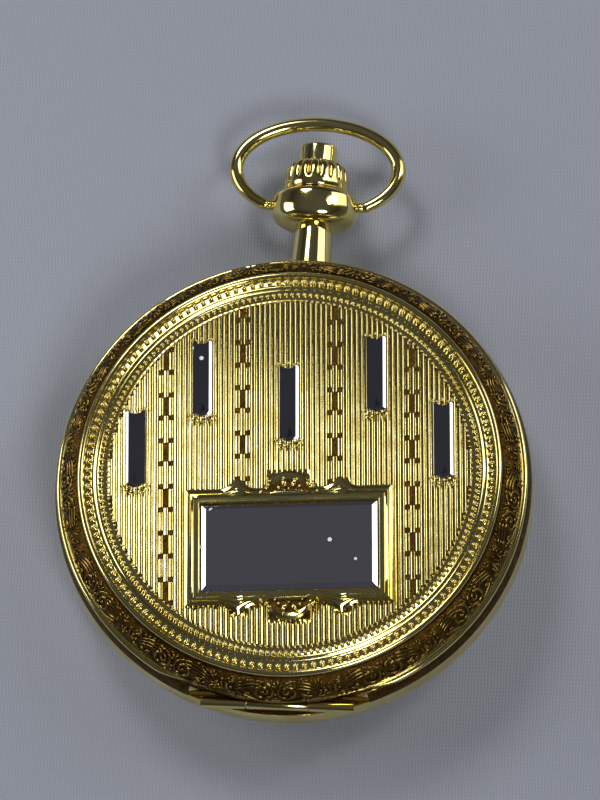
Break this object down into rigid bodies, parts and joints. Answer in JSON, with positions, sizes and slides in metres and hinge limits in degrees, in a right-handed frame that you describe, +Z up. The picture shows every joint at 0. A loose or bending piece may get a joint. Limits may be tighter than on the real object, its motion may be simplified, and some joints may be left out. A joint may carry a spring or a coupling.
{
  "type": "hunter-case pocket watch",
  "caption": "closed gold-tone hunter-case pocket watch with a hinged, ribbed and beaded front cover, inlaid plates, a bow on the pendant, a winding crown with a release button and a going train",
  "frame": {"origin": "centre of the flat face of the case back that the watch rests on", "axes": "+Z up through the dial and the front cover, +Y from the watch's centre to the pendant and crown, +X to the wearer's right at three o'clock"},
  "size_m": [0.047, 0.0632, 0.0125],
  "materials": {
    "gold": "polished gold-tone plate",
    "silver": "mirror polished",
    "glass": "clear",
    "dial": "white enamel",
    "movement_brass": "gilt, satin",
    "train_brass": "polished",
    "steel": "polished",
    "blued_steel": "heat blued",
    "jewel": "polished ruby"
  },
  "bodies": {
    "case": {"case_band": "gold", "case_back": "gold", "bezel": "gold", "crystal": "glass", "hinge_pin": "gold", "lift_spring": "steel", "pendant": "gold", "movement_ring": "steel", "main_plate": "movement_brass", "barrel_bridge": "movement_brass", "train_bridge": "movement_brass", "pallet_bridge": "movement_brass", "balance_cock": "movement_brass", "movement_screws": "blued_steel", "jewels": "jewel", "hairspring": "steel", "dial": "dial"},
    "cover": {"front_cover": "gold", "engraving_plate": "silver", "ribbon_inlays": "silver"},
    "bow": {"bow": "gold"},
    "winding_drive": {"winding_pinion": "steel", "clutch_wheel": "steel"},
    "crown": {"crown": "gold", "winding_stem": "steel"},
    "button": {"crown_button": "gold"},
    "latch": {"lock_spring": "steel"},
    "crown_wheel": {"crown_wheel": "steel"},
    "ratchet": {"ratchet_wheel": "steel", "barrel_arbor": "steel"},
    "click": {"click": "steel"},
    "seconds": {"fourth_wheel": "train_brass", "seconds_hand": "blued_steel"},
    "third": {"third_wheel": "train_brass"},
    "centre": {"centre_wheel": "train_brass", "cannon_pinion": "steel", "minute_hand": "blued_steel"},
    "minute_wheel": {"minute_wheel": "train_brass"},
    "hour": {"hour_wheel": "train_brass", "hour_hand": "blued_steel"},
    "barrel": {"barrel": "train_brass", "barrel_cover": "train_brass", "mainspring": "steel"},
    "escape": {"escape_wheel": "steel"},
    "fork": {"pallet_fork": "steel", "pallet_stones": "jewel"},
    "balance": {"balance_wheel": "train_brass", "balance_staff": "steel"}
  },
  "joints": [
    {"name": "cover_hinge", "type": "hinge", "parent": "case", "child": "cover", "pos_m": [0, -0.0224, 0.008], "axis": [1, 0, 0], "range_deg": [0, 95]},
    {"name": "bow_swing", "type": "hinge", "parent": "case", "child": "bow", "pos_m": [0, 0.0303, 0.0046], "axis": [1, 0, 0], "range_deg": [-110, 110]},
    {"name": "crown_turn", "type": "hinge", "parent": "case", "child": "winding_drive", "pos_m": [0, 0, 0.0046], "axis": [0, 1, 0], "continuous": true},
    {"name": "crown_pull", "type": "slide", "parent": "winding_drive", "child": "crown", "axis": [0, 1, 0], "range_m": [0, 0.001]},
    {"name": "button_press", "type": "slide", "parent": "crown", "child": "button", "axis": [0, -1, 0], "range_m": [0, 0.0007], "stiffness_N_per_m": 1500},
    {"name": "latch_flex", "type": "hinge", "parent": "case", "child": "latch", "pos_m": [0.01618, 0.01133, 0.00655], "axis": [0, 0, 1], "range_deg": [0, 2.6]},
    {"name": "crown_wheel_turn", "type": "hinge", "parent": "case", "child": "crown_wheel", "pos_m": [0, 0.01087, 0.004], "axis": [0, 0, 1], "continuous": true},
    {"name": "ratchet_turn", "type": "hinge", "parent": "case", "child": "ratchet", "pos_m": [-0.00664, 0.00465, 0.004], "axis": [0, 0, 1], "continuous": true},
    {"name": "click_lift", "type": "hinge", "parent": "case", "child": "click", "pos_m": [-0.0115, 0.0105, 0.00145], "axis": [0, 0, 1], "range_deg": [0, 8], "stiffness_Nm_per_rad": 0.000001},
    {"name": "seconds_turn", "type": "hinge", "parent": "case", "child": "seconds", "pos_m": [0, -0.009, 0.004], "axis": [0, 0, 1], "continuous": true},
    {"name": "third_turn", "type": "hinge", "parent": "case", "child": "third", "pos_m": [0.00382, -0.00501, 0.004], "axis": [0, 0, 1], "continuous": true},
    {"name": "centre_turn", "type": "hinge", "parent": "case", "child": "centre", "pos_m": [0, 0, 0.004], "axis": [0, 0, 1], "continuous": true},
    {"name": "minute_wheel_turn", "type": "hinge", "parent": "case", "child": "minute_wheel", "pos_m": [0.00255, 0.00255, 0.004], "axis": [0, 0, 1], "continuous": true},
    {"name": "hour_turn", "type": "hinge", "parent": "case", "child": "hour", "pos_m": [0, 0, 0.0065], "axis": [0, 0, 1], "continuous": true},
    {"name": "barrel_turn", "type": "hinge", "parent": "case", "child": "barrel", "pos_m": [-0.00664, 0.00465, 0.004], "axis": [0, 0, 1], "continuous": true},
    {"name": "escape_turn", "type": "hinge", "parent": "case", "child": "escape", "pos_m": [-0.0046, -0.0086, 0.004], "axis": [0, 0, 1], "continuous": true},
    {"name": "fork_rock", "type": "hinge", "parent": "case", "child": "fork", "pos_m": [-0.00729, -0.00705, 0.004], "axis": [0, 0, 1], "range_deg": [-5, 5]},
    {"name": "balance_swing", "type": "hinge", "parent": "case", "child": "balance", "pos_m": [-0.0104, -0.00525, 0.003], "axis": [0, 0, 1], "range_deg": [-220, 220], "stiffness_Nm_per_rad": 0.000001}
  ],
  "couplings": [
    {"joint": "latch_flex", "follows": "button_press", "rad_per_m": 61.811},
    {"joint": "crown_wheel_turn", "follows": "crown_turn", "ratio": 0.58065},
    {"joint": "ratchet_turn", "follows": "crown_turn", "ratio": -0.3},
    {"joint": "third_turn", "follows": "seconds_turn", "ratio": -0.13333},
    {"joint": "centre_turn", "follows": "seconds_turn", "ratio": 0.016667},
    {"joint": "minute_wheel_turn", "follows": "seconds_turn", "ratio": -0.0055556},
    {"joint": "hour_turn", "follows": "seconds_turn", "ratio": 0.0013889},
    {"joint": "barrel_turn", "follows": "seconds_turn", "ratio": -0.0025641},
    {"joint": "escape_turn", "follows": "seconds_turn", "ratio": -10}
  ]
}
